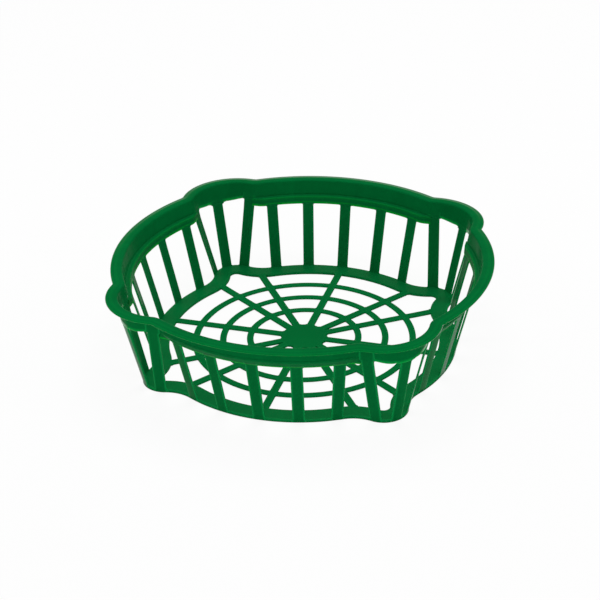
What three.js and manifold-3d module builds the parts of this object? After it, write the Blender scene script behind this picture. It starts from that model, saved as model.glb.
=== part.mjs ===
// Bulb planting basket: a shallow open basket of green moulded plastic, sunk into the soil with bulbs in it.
// Seen from above it has four long curved sides with a round lobe at each corner and notches between them.
// Millimetres, +Z up. The origin is the middle of the underside; the long sides face X and Y.

import * as THREE from "three";
import { mergeVertices } from "three/addons/utils/BufferGeometryUtils.js";
import Module from "manifold-3d";

const wasm = await Module();
wasm.setup();

// Overall height and the wall that runs through rim, ledge and slats
const basketHeight = 51;
const wallThickness = 1;

// Rim outline, along the outer edge of the lip: how far the sides stand from the middle,
// how much further the lobes do, and the curves of the sides, lobes and notches
const rimSideReach = 101.3;
const rimSideRadius = 102.65;
const rimLobeProud = 9;
const rimLobeRadius = 29.8;
const rimNotchRadius = 3.9;

// Lip: the flat flange around the top, rounded over into the band below it
const lipWidth = 6.6;
const lipThickness = 1.3;
const lipEdgeRound = 0.5;
const lipCornerRound = 1.1;

// Band: the upright strip that hangs from the lip's inner edge and leans inwards
const bandHeight = 9.4;
const bandLean = 1.15;

// Ledge: the shoulder and leaning strip inside each long side, where a second basket stacks.
// The shoulder stands a little above the band's lower edge, and the strip reaches below it.
const ledgeWidth = 2.3;
const ledgeRise = 2;
const ledgeDrop = 2.6;
const ledgeLean = 0.45;

// Foot outline, along the outer edge of the flat ring that the basket stands on: how far its sides
// stand inside the rim's, how much further out its lobes reach, and its curves
const footInset = 18.3;
const footSideRadius = 82.75;
const footLobeProud = 11.9;
const footLobeRadius = 12.9;
const footNotchRadius = 18.5;
const footWidth = 9.5;
const footThickness = 1.6;
const footRound = 0.4;

// Slats: the upright bars between the rim and the foot
const slatWidth = 6.2;
const slatChamfer = 0.3;
const notchSlatFootShift = 2.3;

// Where the outermost slats of a side stand, as a share of the way from its middle to the notch,
// and where those between them and the middle one stand, as a share of the way to the outermost
const endSlatTopShare = 0.882;
const endSlatFootShare = 0.929;
const innerSlatShare = 0.511;

// Web: the floor of rings and spokes, a little above the ground, around a solid hub
const webThickness = 1.2;
const webRingWidth = 3.6;
const innerRingRadius = 29.5;
const middleRingRadius = 44.2;
const outerRingRadius = 59.1;
const webChamfer = 0.4;
const spokeWidth = 4.1;
const cornerSpokeSpreadDegrees = 9.9;
const hubRadius = 12.5;

// Gap left between members that meet edge to edge
const memberGap = 0.3;

// Steps along the curves
const halfSideSteps = 5;
const notchSteps = 2;
const halfLobeSteps = 4;
const roundSteps = 2;
const webRingSteps = 48;

// The long sides in turn, one to a quarter of the basket
const sideNames = ["right", "back", "left", "front"];

const quarterTurn = Math.PI / 2;
const eighthTurn = Math.PI / 4;

const footSideReach = rimSideReach - footInset;

// Levels, worked out from the sizes above
const lipUnderside = basketHeight - lipThickness;
const bandBottom = lipUnderside - bandHeight;
const ledgeTop = bandBottom + ledgeRise;
const ledgeBottom = bandBottom - ledgeDrop;
const webTop = footThickness;
const webUnderside = webTop - webThickness;
const lapLevel = webUnderside + webThickness / 2;

// Distances from the rim outline to the inner face of the wall, positive outwards
const bandInnerTop = -lipWidth;
const bandInnerBottom = bandInnerTop - bandLean;
const bandInnerAtLedge = bandInnerBottom + (bandLean * ledgeRise) / bandHeight;
const ledgeInnerTop = bandInnerAtLedge - ledgeWidth;
const ledgeInnerBottom = ledgeInnerTop - ledgeLean;
const bandOuterBottom = bandInnerBottom + wallThickness;

const plasticGreen = 0x055f2f;
const plasticRoughness = 0.38;
const basket = new THREE.Group();

function addMember(name, geometry) {
  const plastic = { color: plasticGreen, roughness: plasticRoughness, metalness: 0 };
  const member = new THREE.Mesh(geometry, new THREE.MeshStandardMaterial(plastic));
  member.name = name;
  basket.add(member);
}

// An outline over an eighth of the basket, from the middle of a side to the middle of a lobe,
// as three arcs that run smoothly into each other.
function makeOutline(sideReach, sideRadius, lobeProud, lobeRadius, notchRadius) {
  const lobeCentre = sideReach + lobeProud - lobeRadius;
  const side = new THREE.Vector2(sideReach - sideRadius, 0);
  const lobe = new THREE.Vector2(Math.cos(eighthTurn), Math.sin(eighthTurn)).multiplyScalar(lobeCentre);
  const towardsLobe = lobe.clone().sub(side);
  const span = towardsLobe.length();
  towardsLobe.normalize();
  const notchFromSide = sideRadius + notchRadius;
  const notchFromLobe = lobeRadius + notchRadius;
  const along = (notchFromSide ** 2 - notchFromLobe ** 2 + span ** 2) / (2 * span);
  const across = Math.sqrt(notchFromSide ** 2 - along ** 2);
  const notch = new THREE.Vector2(
    side.x + towardsLobe.x * along + towardsLobe.y * across,
    side.y + towardsLobe.y * along - towardsLobe.x * across,
  );
  const sideEnd = Math.atan2(notch.y - side.y, notch.x - side.x);
  const lobeBegin = Math.atan2(notch.y - lobe.y, notch.x - lobe.x);
  const notchBegin = sideEnd + Math.PI;
  const notchEnd = lobeBegin + Math.PI;
  return {
    side: { centre: side, radius: sideRadius, bulge: 1, from: 0, to: sideEnd },
    notch: { centre: notch, radius: notchRadius, bulge: -1, from: notchBegin, to: notchEnd },
    lobe: { centre: lobe, radius: lobeRadius, bulge: 1, from: lobeBegin, to: eighthTurn },
  };
}

const rim = makeOutline(rimSideReach, rimSideRadius, rimLobeProud, rimLobeRadius, rimNotchRadius);
const foot = makeOutline(footSideReach, footSideRadius, footLobeProud, footLobeRadius, footNotchRadius);

// Places along a quarter count the arcs passed on the way from the middle of a side to the middle
// of a lobe. Negative places are the mirror image.
const arcNames = ["side", "notch", "lobe"];
const notchStart = arcNames.indexOf("notch");
const lobeStart = arcNames.indexOf("lobe");
const lobeMiddle = arcNames.length;

// The point and outward direction at a place of a quarter, moved outwards by offset
function outlinePoint(outline, quarter, place, offset) {
  const passed = Math.min(Math.floor(Math.abs(place)), lobeStart);
  const arc = outline[arcNames[passed]];
  const angle = THREE.MathUtils.lerp(arc.from, arc.to, Math.abs(place) - passed);
  const out = new THREE.Vector2(Math.cos(angle), Math.sin(angle));
  const point = arc.centre.clone().addScaledVector(out, arc.radius + arc.bulge * offset);
  out.multiplyScalar(arc.bulge);
  if (place < 0) {
    point.y = -point.y;
    out.y = -out.y;
  }
  const origin = new THREE.Vector2();
  point.rotateAround(origin, quarter * quarterTurn);
  out.rotateAround(origin, quarter * quarterTurn);
  return { point, out };
}

function spread(from, to, steps) {
  return Array.from({ length: steps }, (_, step) => THREE.MathUtils.lerp(from, to, step / steps));
}

// Places from the middle of one lobe up to the middle of the next
const quarterPlaces = [
  ...spread(-lobeMiddle, -lobeStart, halfLobeSteps),
  ...spread(-lobeStart, -notchStart, notchSteps),
  ...spread(-notchStart, notchStart, 2 * halfSideSteps),
  ...spread(notchStart, lobeStart, notchSteps),
  ...spread(lobeStart, lobeMiddle, halfLobeSteps),
];

// A closed surface over matching loops of points. A ring joins its last loop to its first;
// a bar is closed by end faces, cut into triangles by its flat section.
function skin(loops, endSection) {
  const count = loops[0].length;
  const positions = loops.flat().flatMap((corner) => corner.toArray());
  const triangles = [];
  const strips = endSection ? loops.length - 1 : loops.length;
  for (let strip = 0; strip < strips; strip++) {
    const here = strip * count;
    const next = ((strip + 1) % loops.length) * count;
    for (let corner = 0; corner < count; corner++) {
      const after = (corner + 1) % count;
      triangles.push(here + corner, next + after, here + after);
      triangles.push(here + corner, next + corner, next + after);
    }
  }
  if (endSection) {
    const last = (loops.length - 1) * count;
    for (const [a, b, c] of THREE.ShapeUtils.triangulateShape(endSection, [])) {
      triangles.push(a, b, c);
      triangles.push(last + a, last + c, last + b);
    }
  }
  const geometry = new THREE.BufferGeometry();
  geometry.setAttribute("position", new THREE.Float32BufferAttribute(positions, 3));
  geometry.setIndex(triangles);
  return geometry;
}

// The loop of a section, given as offsets from the outline and heights, set up at one place
function sectionLoop(outline, quarter, place, section) {
  return section.map(({ x: offset, y: height }) => {
    const { point } = outlinePoint(outline, quarter, place, offset);
    return new THREE.Vector3(point.x, point.y, height);
  });
}

function sweepAround(outline, section) {
  const loops = sideNames.flatMap((_, quarter) =>
    quarterPlaces.map((place) => sectionLoop(outline, quarter, place, section)),
  );
  return skin(loops);
}

// Points of a rounded corner, from one angle to another about its centre
function roundCorner(centreX, centreY, radius, fromQuarter, toQuarter) {
  return Array.from({ length: roundSteps + 1 }, (_, step) => {
    const angle = THREE.MathUtils.lerp(fromQuarter, toQuarter, step / roundSteps) * quarterTurn;
    return new THREE.Vector2(centreX + radius * Math.cos(angle), centreY + radius * Math.sin(angle));
  });
}

// Solids for cutting, and back again
function toSolid(geometry) {
  const bare = geometry.clone();
  bare.deleteAttribute("normal");
  bare.deleteAttribute("uv");
  const merged = mergeVertices(bare);
  const vertProperties = new Float32Array(merged.attributes.position.array);
  const triVerts = new Uint32Array(merged.index.array);
  return new wasm.Manifold(new wasm.Mesh({ numProp: 3, vertProperties, triVerts }));
}

function toGeometry(solid) {
  const mesh = solid.getMesh();
  const geometry = new THREE.BufferGeometry();
  geometry.setAttribute("position", new THREE.BufferAttribute(mesh.vertProperties, mesh.numProp));
  geometry.setIndex(new THREE.BufferAttribute(mesh.triVerts, 1));
  return geometry;
}

// Lip
const lipSection = [
  new THREE.Vector2(bandInnerTop, lipUnderside),
  ...roundCorner(-lipEdgeRound, lipUnderside + lipEdgeRound, lipEdgeRound, -1, 0),
  ...roundCorner(-lipEdgeRound, basketHeight - lipEdgeRound, lipEdgeRound, 0, 1),
  ...roundCorner(bandInnerTop + lipCornerRound, basketHeight - lipCornerRound, lipCornerRound, 1, 2),
];
addMember("rim_lip", sweepAround(rim, lipSection));

// Band, hanging from the underside of the lip
const bandSection = [
  new THREE.Vector2(bandInnerBottom, bandBottom),
  new THREE.Vector2(bandOuterBottom, bandBottom),
  new THREE.Vector2(bandInnerTop + wallThickness, lipUnderside),
  new THREE.Vector2(bandInnerTop, lipUnderside),
];
addMember("rim_band", sweepAround(rim, bandSection));

// Ledges, on the inner face of the band along each long side. They end beside the slats at the notches.
// Outside, the wall slopes in from the band's lower edge to the strip's.
const ledgeSection = [
  new THREE.Vector2(ledgeInnerBottom, ledgeBottom),
  new THREE.Vector2(ledgeInnerBottom + wallThickness, ledgeBottom),
  new THREE.Vector2(bandOuterBottom, bandBottom),
  new THREE.Vector2(bandInnerBottom, bandBottom),
  new THREE.Vector2(bandInnerAtLedge, ledgeTop),
  new THREE.Vector2(ledgeInnerTop, ledgeTop),
];
const notchSweep = rim.notch.from - rim.notch.to;
const ledgeOuterBend = rim.notch.radius - bandOuterBottom;
const ledgeEndAngle = Math.asin((slatWidth / 2 + memberGap) / ledgeOuterBend);
const ledgeEnd = lobeStart - ledgeEndAngle / notchSweep;
const ledgePlaces = [
  ...spread(-ledgeEnd, -notchStart, notchSteps),
  ...spread(-notchStart, notchStart, 2 * halfSideSteps),
  ...spread(notchStart, ledgeEnd, notchSteps),
  ledgeEnd,
];
sideNames.forEach((side, quarter) => {
  const loops = ledgePlaces.map((place) => sectionLoop(rim, quarter, place, ledgeSection));
  addMember(`ledge_${side}`, skin(loops, ledgeSection));
});

// Foot ring
const footSection = [
  new THREE.Vector2(-footWidth, 0),
  ...roundCorner(-footRound, footRound, footRound, -1, 0),
  new THREE.Vector2(0, footThickness),
  new THREE.Vector2(-footWidth, footThickness),
];
addMember("foot_ring", sweepAround(foot, footSection));

// Slats, standing on the foot ring with their outer faces flush with its edge.
// Side slats reach the ledge; those at the notches and in the lobes reach the band.
const slatHalf = slatWidth / 2;
const slatSection = [
  new THREE.Vector2(-slatHalf, slatChamfer - wallThickness),
  new THREE.Vector2(slatChamfer - slatHalf, -wallThickness),
  new THREE.Vector2(slatHalf - slatChamfer, -wallThickness),
  new THREE.Vector2(slatHalf, slatChamfer - wallThickness),
  new THREE.Vector2(slatHalf, -slatChamfer),
  new THREE.Vector2(slatHalf - slatChamfer, 0),
  new THREE.Vector2(slatChamfer - slatHalf, 0),
  new THREE.Vector2(-slatHalf, -slatChamfer),
];

function slatLoop(outline, quarter, place, offset, height) {
  const { point, out } = outlinePoint(outline, quarter, place, offset);
  return slatSection.map(({ x: across, y: through }) => new THREE.Vector3(
    point.x - out.y * across + out.x * through,
    point.y + out.x * across + out.y * through,
    height,
  ));
}

function addSlat(name, quarter, footPlace, topPlace, topInner, topHeight) {
  const loops = [
    slatLoop(foot, quarter, footPlace, 0, footThickness),
    slatLoop(rim, quarter, topPlace, topInner + wallThickness, topHeight),
  ];
  addMember(name, skin(loops, slatSection));
}

const footLobeLength = foot.lobe.radius * (foot.lobe.to - foot.lobe.from);
const notchSlatFoot = lobeStart + notchSlatFootShift / footLobeLength;
const sideSlatPlaces = [-1, -innerSlatShare, 0, innerSlatShare, 1];
sideNames.forEach((side, quarter) => {
  sideSlatPlaces.forEach((along, slat) => {
    const footPlace = along * endSlatFootShare;
    const topPlace = along * endSlatTopShare;
    addSlat(`slat_${side}_${slat + 1}`, quarter, footPlace, topPlace, ledgeInnerBottom, ledgeBottom);
  });
  addSlat(`notch_slat_${side}_a`, quarter, -notchSlatFoot, -lobeStart, bandInnerBottom, bandBottom);
  addSlat(`notch_slat_${side}_b`, quarter, notchSlatFoot, lobeStart, bandInnerBottom, bandBottom);
  const nextSide = sideNames[(quarter + 1) % sideNames.length];
  addSlat(`lobe_slat_${side}_${nextSide}`, quarter, lobeMiddle, lobeMiddle, bandInnerBottom, bandBottom);
});

// Web. Where a spoke crosses a ring, each gives up half its thickness: the spoke passes over.
const spokeAngles = sideNames.flatMap((_, quarter) => {
  const corner = quarter * quarterTurn + eighthTurn;
  const spokeSpread = THREE.MathUtils.degToRad(cornerSpokeSpreadDegrees);
  return [quarter * quarterTurn, corner - spokeSpread, corner + spokeSpread];
});

// A straight bar from the middle outwards at an angle, between two levels
function radialBar(angle, section) {
  const shape = new THREE.Shape(section);
  const bar = new THREE.ExtrudeGeometry(shape, { depth: footSideReach, bevelEnabled: false });
  bar.rotateX(quarterTurn);
  bar.rotateZ(quarterTurn + angle);
  return toSolid(bar);
}

// An upright disc or prism between two levels
function uprightPrism(corners, bottom, top) {
  const shape = new THREE.Shape(corners);
  const prism = new THREE.ExtrudeGeometry(shape, { depth: top - bottom, bevelEnabled: false });
  prism.translate(0, 0, bottom);
  return toSolid(prism);
}

function circleCorners(radius) {
  return spread(0, 2 * Math.PI, webRingSteps).map(
    (angle) => new THREE.Vector2(radius * Math.cos(angle), radius * Math.sin(angle)),
  );
}

function ringSolid(radius, halfWidth, bottom, top, chamfer) {
  const profile = [
    new THREE.Vector2(radius - halfWidth, bottom),
    new THREE.Vector2(radius + halfWidth, bottom),
    new THREE.Vector2(radius + halfWidth, top - chamfer),
    new THREE.Vector2(radius + halfWidth - chamfer, top),
    new THREE.Vector2(radius - halfWidth + chamfer, top),
    new THREE.Vector2(radius - halfWidth, top - chamfer),
  ];
  const loops = spread(0, 2 * Math.PI, webRingSteps).map((angle) =>
    profile.map(({ x, y }) => new THREE.Vector3(x * Math.cos(angle), x * Math.sin(angle), y)),
  );
  return toSolid(skin(loops));
}

const ringHalf = webRingWidth / 2;
const spokeHalf = spokeWidth / 2;
const clearAbove = webTop + webThickness;
const clearBelow = webUnderside - webThickness;
const webRings = { inner: innerRingRadius, middle: middleRingRadius, outer: outerRingRadius };
const spokePassage = [
  new THREE.Vector2(-spokeHalf - memberGap, lapLevel),
  new THREE.Vector2(spokeHalf + memberGap, lapLevel),
  new THREE.Vector2(spokeHalf + memberGap, clearAbove),
  new THREE.Vector2(-spokeHalf - memberGap, clearAbove),
];
for (const [place, radius] of Object.entries(webRings)) {
  let ring = ringSolid(radius, ringHalf, webUnderside, webTop, webChamfer);
  for (const angle of spokeAngles) {
    ring = ring.subtract(radialBar(angle, spokePassage));
  }
  addMember(`web_ring_${place}`, toGeometry(ring));
}

// Spokes reach from the hub to the inner edge of the foot ring
const spokeSection = [
  new THREE.Vector2(-spokeHalf, webUnderside),
  new THREE.Vector2(spokeHalf, webUnderside),
  new THREE.Vector2(spokeHalf, webTop - webChamfer),
  new THREE.Vector2(spokeHalf - webChamfer, webTop),
  new THREE.Vector2(webChamfer - spokeHalf, webTop),
  new THREE.Vector2(-spokeHalf, webTop - webChamfer),
];
const floorCorners = sideNames.flatMap((_, quarter) =>
  quarterPlaces.map((place) => outlinePoint(foot, quarter, place, -footWidth - memberGap).point),
);
const floorSpace = uprightPrism(floorCorners, clearBelow, clearAbove);
const hubSpace = uprightPrism(circleCorners(hubRadius + memberGap), clearBelow, clearAbove);
const ringPassages = Object.values(webRings).map((radius) =>
  ringSolid(radius, ringHalf + memberGap, clearBelow, lapLevel, 0),
);
spokeAngles.forEach((angle, index) => {
  let spoke = radialBar(angle, spokeSection).intersect(floorSpace).subtract(hubSpace);
  for (const passage of ringPassages) {
    spoke = spoke.subtract(passage);
  }
  addMember(`spoke_${String(index + 1).padStart(2, "0")}`, toGeometry(spoke));
});

// Hub
addMember("web_hub", toGeometry(uprightPrism(circleCorners(hubRadius), webUnderside, webTop)));

export default basket;
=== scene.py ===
# Shallow basket for planting bulbs, moulded in one piece of green plastic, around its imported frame.
# The frame's solids stay for collision; the pieces below stand for them, closed up as on the moulding.

import math
from functools import partial

import bmesh
import bpy
from mathutils import Matrix, Vector


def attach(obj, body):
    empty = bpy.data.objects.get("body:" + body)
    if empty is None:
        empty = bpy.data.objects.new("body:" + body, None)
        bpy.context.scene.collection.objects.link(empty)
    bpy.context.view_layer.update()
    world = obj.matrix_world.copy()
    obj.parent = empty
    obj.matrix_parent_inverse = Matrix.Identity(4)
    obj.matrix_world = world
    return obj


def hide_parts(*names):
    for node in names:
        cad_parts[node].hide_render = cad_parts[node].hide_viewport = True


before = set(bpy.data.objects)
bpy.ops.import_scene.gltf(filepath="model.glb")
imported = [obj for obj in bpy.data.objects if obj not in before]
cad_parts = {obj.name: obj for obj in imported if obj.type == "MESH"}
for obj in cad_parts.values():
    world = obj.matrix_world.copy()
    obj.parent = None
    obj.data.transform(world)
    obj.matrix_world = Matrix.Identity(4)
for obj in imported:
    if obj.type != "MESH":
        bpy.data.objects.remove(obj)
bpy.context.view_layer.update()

# Rim: the flat lip around the top and the upright band that hangs from its inner edge.
# Green polypropylene, moulded in one with the rest; the lip rounds over into the band, whose lower
# edge is cut free between the slats of the lobes and dips a little beside each of them.
MM = 0.001
LIP_TOP = 51.2
LIP_WIDTH = 6.6
LIP_THICKNESS = 1.5
LIP_FALL = 0.25
LIP_INNER_ROUND = 1.1
LIP_CROWN_PLACE = 0.4 * LIP_WIDTH
LIP_CROWN_ROUND = 6.0
LIP_INNER_SET = 0.25
LIP_INNER_FALL = 0.1
LIP_UNDER_RISE = 0.1
LIP_EDGE_ROUND = 0.5
LIP_UNDER_ROUND = 0.45
LIP_ROOT_ROUND = 0.9
WALL = 1.0
BAND_BOTTOM = 40.3
BAND_LEAN = 1.15
BAND_TOP = LIP_TOP - LIP_THICKNESS
BAND_FACE = -LIP_WIDTH - BAND_LEAN
BAND_SLANT_IN = 0.2
BAND_SLANT_OUT = 0.8
BAND_OUTER_EDGE = BAND_BOTTOM - BAND_SLANT_OUT
BAND_INNER_EDGE_ROUND = 0.4
BAND_OUTER_EDGE_ROUND = 0.3
# Paler green painted along the rim's edges, a painted glow and highlight: how far it reaches and how
# much each edge gets. The same weights also set where the rim's low-angle coat is full.
RIM_GLOW_REACH = 1.8
BAND_INNER_GLOW, BAND_OUTER_GLOW = 1.0, 0.9
LIP_UNDER_GLOW, LIP_EDGE_GLOW, LIP_CROWN_GLOW = 0.4, 0.15, 0.08
HANG_TOP = BAND_BOTTOM + 5
HANG_BOTTOM = BAND_BOTTOM + 1
SLAT_WIDTH = 6.25


def make_outline(side_reach, side_radius, lobe_proud, lobe_radius, notch_radius):
    """Arcs from the middle of a side, through the notch, to the middle of a lobe.
    Each is its centre, radius, bulge, and first and last angle."""
    side = Vector((side_reach - side_radius, 0))
    lobe = Vector((1, 1)).normalized() * (side_reach + lobe_proud - lobe_radius)
    span = lobe - side
    from_side = side_radius + notch_radius
    from_lobe = lobe_radius + notch_radius
    along = (from_side**2 - from_lobe**2 + span.length_squared) / (2 * span.length)
    across = math.sqrt(from_side**2 - along**2)
    ahead = span.normalized()
    notch = side + ahead * along + Vector((ahead.y, -ahead.x)) * across
    side_end = math.atan2(notch.y - side.y, notch.x - side.x)
    lobe_start = math.atan2(notch.y - lobe.y, notch.x - lobe.x)
    return (
        (side, side_radius, 1, 0, side_end),
        (notch, notch_radius, -1, side_end + math.pi, lobe_start + math.pi),
        (lobe, lobe_radius, 1, lobe_start, math.pi / 4),
    )


def arc_length(arc):
    return arc[1] * abs(arc[4] - arc[3])


def arc_start(outline, count):
    """Distance from the middle of a side to where the arc after the first few begins."""
    return sum(arc_length(arc) for arc in outline[:count])


def outline_at(outline, distance):
    """Point and outward direction on an outline, a distance on from the middle of the right side."""
    half = arc_start(outline, len(outline))
    quarter = math.floor((distance + half) / (2 * half))
    local = distance - quarter * 2 * half
    left = abs(local)
    for arc in outline:
        length = arc_length(arc)
        if left <= length or arc is outline[-1]:
            break
        left -= length
    centre, radius, bulge, first, last = arc
    angle = first + (last - first) * min(left / length, 1)
    direction = Vector((math.cos(angle), math.sin(angle)))
    point = centre + direction * radius
    out = direction * bulge
    if local < 0:
        point.y = -point.y
        out.y = -out.y
    turn = Matrix.Rotation(quarter * math.pi / 2, 2)
    return turn @ point, turn @ out


def stations(outline, steps):
    """Distances all the way around an outline, with so many steps to each of its arcs."""
    half = []
    start = 0
    for arc, count in zip(outline, steps):
        half += [start + arc_length(arc) * step / count for step in range(count)]
        start += arc_length(arc)
    quarter = [-start] + [-distance for distance in reversed(half[1:])] + half
    return [turn * 2 * start + distance for turn in range(4) for distance in quarter]


def smooth(low, high, value):
    share = min(max((value - low) / (high - low), 0), 1)
    return share * share * (3 - 2 * share)


def rounded_section(corners, arc_steps=5, glow=1.0):
    """A closed section from its corners: reach, rise, radius, and how much painted edge glow each gets.
    Points beside each round keep the flats flat when shaded and let the painted glow die away."""
    rounds = []
    for index, (reach, rise, radius, edge) in enumerate(corners):
        corner = Vector((reach, rise))
        before = (Vector(corners[index - 1][:2]) - corner).normalized()
        after = (Vector(corners[(index + 1) % len(corners)][:2]) - corner).normalized()
        half_angle = before.angle(after) / 2
        setback = radius / math.tan(half_angle)
        middle = corner + (before + after).normalized() * (radius / math.sin(half_angle))
        first = corner + before * setback - middle
        last = corner + after * setback - middle
        sweep_angle = first.angle(last)
        arc = []
        for step in range(arc_steps + 1):
            share = step / arc_steps
            spoke = first * math.sin((1 - share) * sweep_angle) + last * math.sin(share * sweep_angle)
            arc.append((middle + spoke / math.sin(sweep_angle), edge))
        rounds.append(arc)
    fade = ((0.12, 0.9), (0.4, 0.5), (1.0, 0.0))
    furthest = 0.46
    points = []
    for arc, following in zip(rounds, rounds[1:] + rounds[:1]):
        points += arc
        (start, start_edge), (end, end_edge) = arc[-1], following[0]
        run = end - start
        reach = min(glow / run.length, furthest)
        # Between two painted edges close together, the painted glow stays full across the run
        both_glowing = start_edge > 0 and end_edge > 0 and run.length < glow
        for share, left in fade if start_edge else fade[:1]:
            points.append((start + run * reach * share, start_edge * (1 if both_glowing else left)))
        for share, left in reversed(fade if end_edge else fade[:1]):
            points.append((end - run * reach * share, end_edge * (1 if both_glowing else left)))
    return [(*point, edge) for point, edge in points]


def section_object(name, points, low_from=0, low_to=1):
    """A section as a loop of edges. Between the two heights, low runs from 0 to 1 down the section."""
    count = len(points)
    mesh = bpy.data.meshes.new(name)
    corners = [(reach * MM, rise * MM, 0) for reach, rise, _ in points]
    mesh.from_pydata(corners, [(index, (index + 1) % count) for index in range(count)], [])
    values = {
        "reach": [reach * MM for reach, _, _ in points],
        "rise": [rise * MM for _, rise, _ in points],
        "low": [smooth(low_from, low_to, rise) for _, rise, _ in points],
        "edge": [edge for _, _, edge in points],
    }
    for key, numbers in values.items():
        mesh.attributes.new(key, "FLOAT", "POINT").data.foreach_set("value", numbers)
    section = bpy.data.objects.new(name, mesh)
    bpy.context.scene.collection.objects.link(section)
    return section


def new_node(tree, kind, **settings):
    made = tree.nodes.new(kind)
    for key, value in settings.items():
        setattr(made, key, value)
    return made


def math_node(tree, operation, *values):
    """The result of a sum on sockets and plain numbers."""
    made = new_node(tree, "ShaderNodeMath", operation=operation)
    for socket, value in zip(made.inputs, values):
        if isinstance(value, (int, float)):
            socket.default_value = value
        else:
            tree.links.new(value, socket)
    return made.outputs["Value"]


def swept_section_tree():
    """Sweeps a section along paths of edges. Each path point says which way the section's reach and
    rise run, how its low edge hangs and how plain that edge is, which takes the painted edge glow
    off it, and how the wall curls behind and ahead of the path."""
    tree = bpy.data.node_groups.new("swept_section", "GeometryNodeTree")
    for name, kind in (("Paths", "Geometry"), ("Section", "Object"), ("Finish", "Material")):
        tree.interface.new_socket(name, in_out="INPUT", socket_type="NodeSocket" + kind)
    tree.interface.new_socket("Moulding", in_out="OUTPUT", socket_type="NodeSocketGeometry")
    link = tree.links.new
    node = partial(new_node, tree)
    math_of = partial(math_node, tree)

    def named(name, kind="FLOAT"):
        made = node("GeometryNodeInputNamedAttribute", data_type=kind)
        made.inputs["Name"].default_value = name
        return made.outputs["Attribute"]

    def scaled(vector, factor):
        made = node("ShaderNodeVectorMath", operation="SCALE")
        link(vector, made.inputs["Vector"])
        link(factor, made.inputs["Scale"])
        return made.outputs["Vector"]

    def vector_of(operation, *vectors):
        made = node("ShaderNodeVectorMath", operation=operation)
        for socket, vector in zip(made.inputs, vectors):
            link(vector, socket)
        return made

    entry = node("NodeGroupInput")
    info = node("GeometryNodeObjectInfo", transform_space="ORIGINAL")
    path = node("GeometryNodeMeshToCurve")
    profile = node("GeometryNodeMeshToCurve")
    swept = node("GeometryNodeCurveToMesh")
    swept.inputs["Fill Caps"].default_value = True
    link(entry.outputs["Section"], info.inputs["Object"])
    link(entry.outputs["Paths"], path.inputs["Mesh"])
    link(info.outputs["Geometry"], profile.inputs["Mesh"])
    link(path.outputs["Curve"], swept.inputs["Curve"])
    link(profile.outputs["Curve"], swept.inputs["Profile Curve"])

    # Flat place in the section's two directions
    out = named("out", "FLOAT_VECTOR")
    up = named("up", "FLOAT_VECTOR")
    across = scaled(out, named("reach"))
    flat = vector_of("ADD", across, scaled(up, named("rise"))).outputs["Vector"]

    # Curl of the wall, by the square of the way across
    ahead = math_of("GREATER_THAN", named("reach"), 0.0)
    behind = math_of("SUBTRACT", 1.0, ahead)
    curl = math_of(
        "ADD",
        math_of("MULTIPLY", named("curl_ahead"), ahead),
        math_of("MULTIPLY", named("curl_behind"), behind),
    )
    way = vector_of("LENGTH", across).outputs["Value"]
    fall = math_of("MULTIPLY", math_of("MULTIPLY", way, way), math_of("MULTIPLY", curl, -0.5))
    curled = scaled(vector_of("NORMALIZE", up).outputs["Vector"], fall)

    # Hanging lower edge
    hang = scaled(named("hang", "FLOAT_VECTOR"), named("low"))

    bent = vector_of("ADD", flat, curled).outputs["Vector"]
    moved = vector_of("ADD", bent, hang).outputs["Vector"]
    placed = vector_of("ADD", moved, named("spot", "FLOAT_VECTOR")).outputs["Vector"]
    settle = node("GeometryNodeSetPosition")
    link(swept.outputs["Mesh"], settle.inputs["Geometry"])
    link(placed, settle.inputs["Position"])

    # A plain lower edge runs on into the wall below, so the painted edge glow is taken off it
    keep = math_of("SUBTRACT", 1.0, math_of("MULTIPLY", named("plain"), named("low")))
    stored_glow = node("GeometryNodeStoreNamedAttribute", data_type="FLOAT", domain="POINT")
    stored_glow.inputs["Name"].default_value = "edge"
    link(settle.outputs["Geometry"], stored_glow.inputs["Geometry"])
    link(math_of("MULTIPLY", named("edge"), keep), stored_glow.inputs["Value"])

    shade = node("GeometryNodeSetShadeSmooth")
    real = node("GeometryNodeRealizeInstances")
    finish = node("GeometryNodeSetMaterial")
    leave = node("NodeGroupOutput")
    link(stored_glow.outputs["Geometry"], shade.inputs["Geometry"])
    link(shade.outputs["Geometry"], real.inputs["Geometry"])
    link(real.outputs["Geometry"], finish.inputs["Geometry"])
    link(entry.outputs["Finish"], finish.inputs["Material"])
    link(finish.outputs["Geometry"], leave.inputs["Moulding"])
    return tree


swept_section = swept_section_tree()


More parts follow.
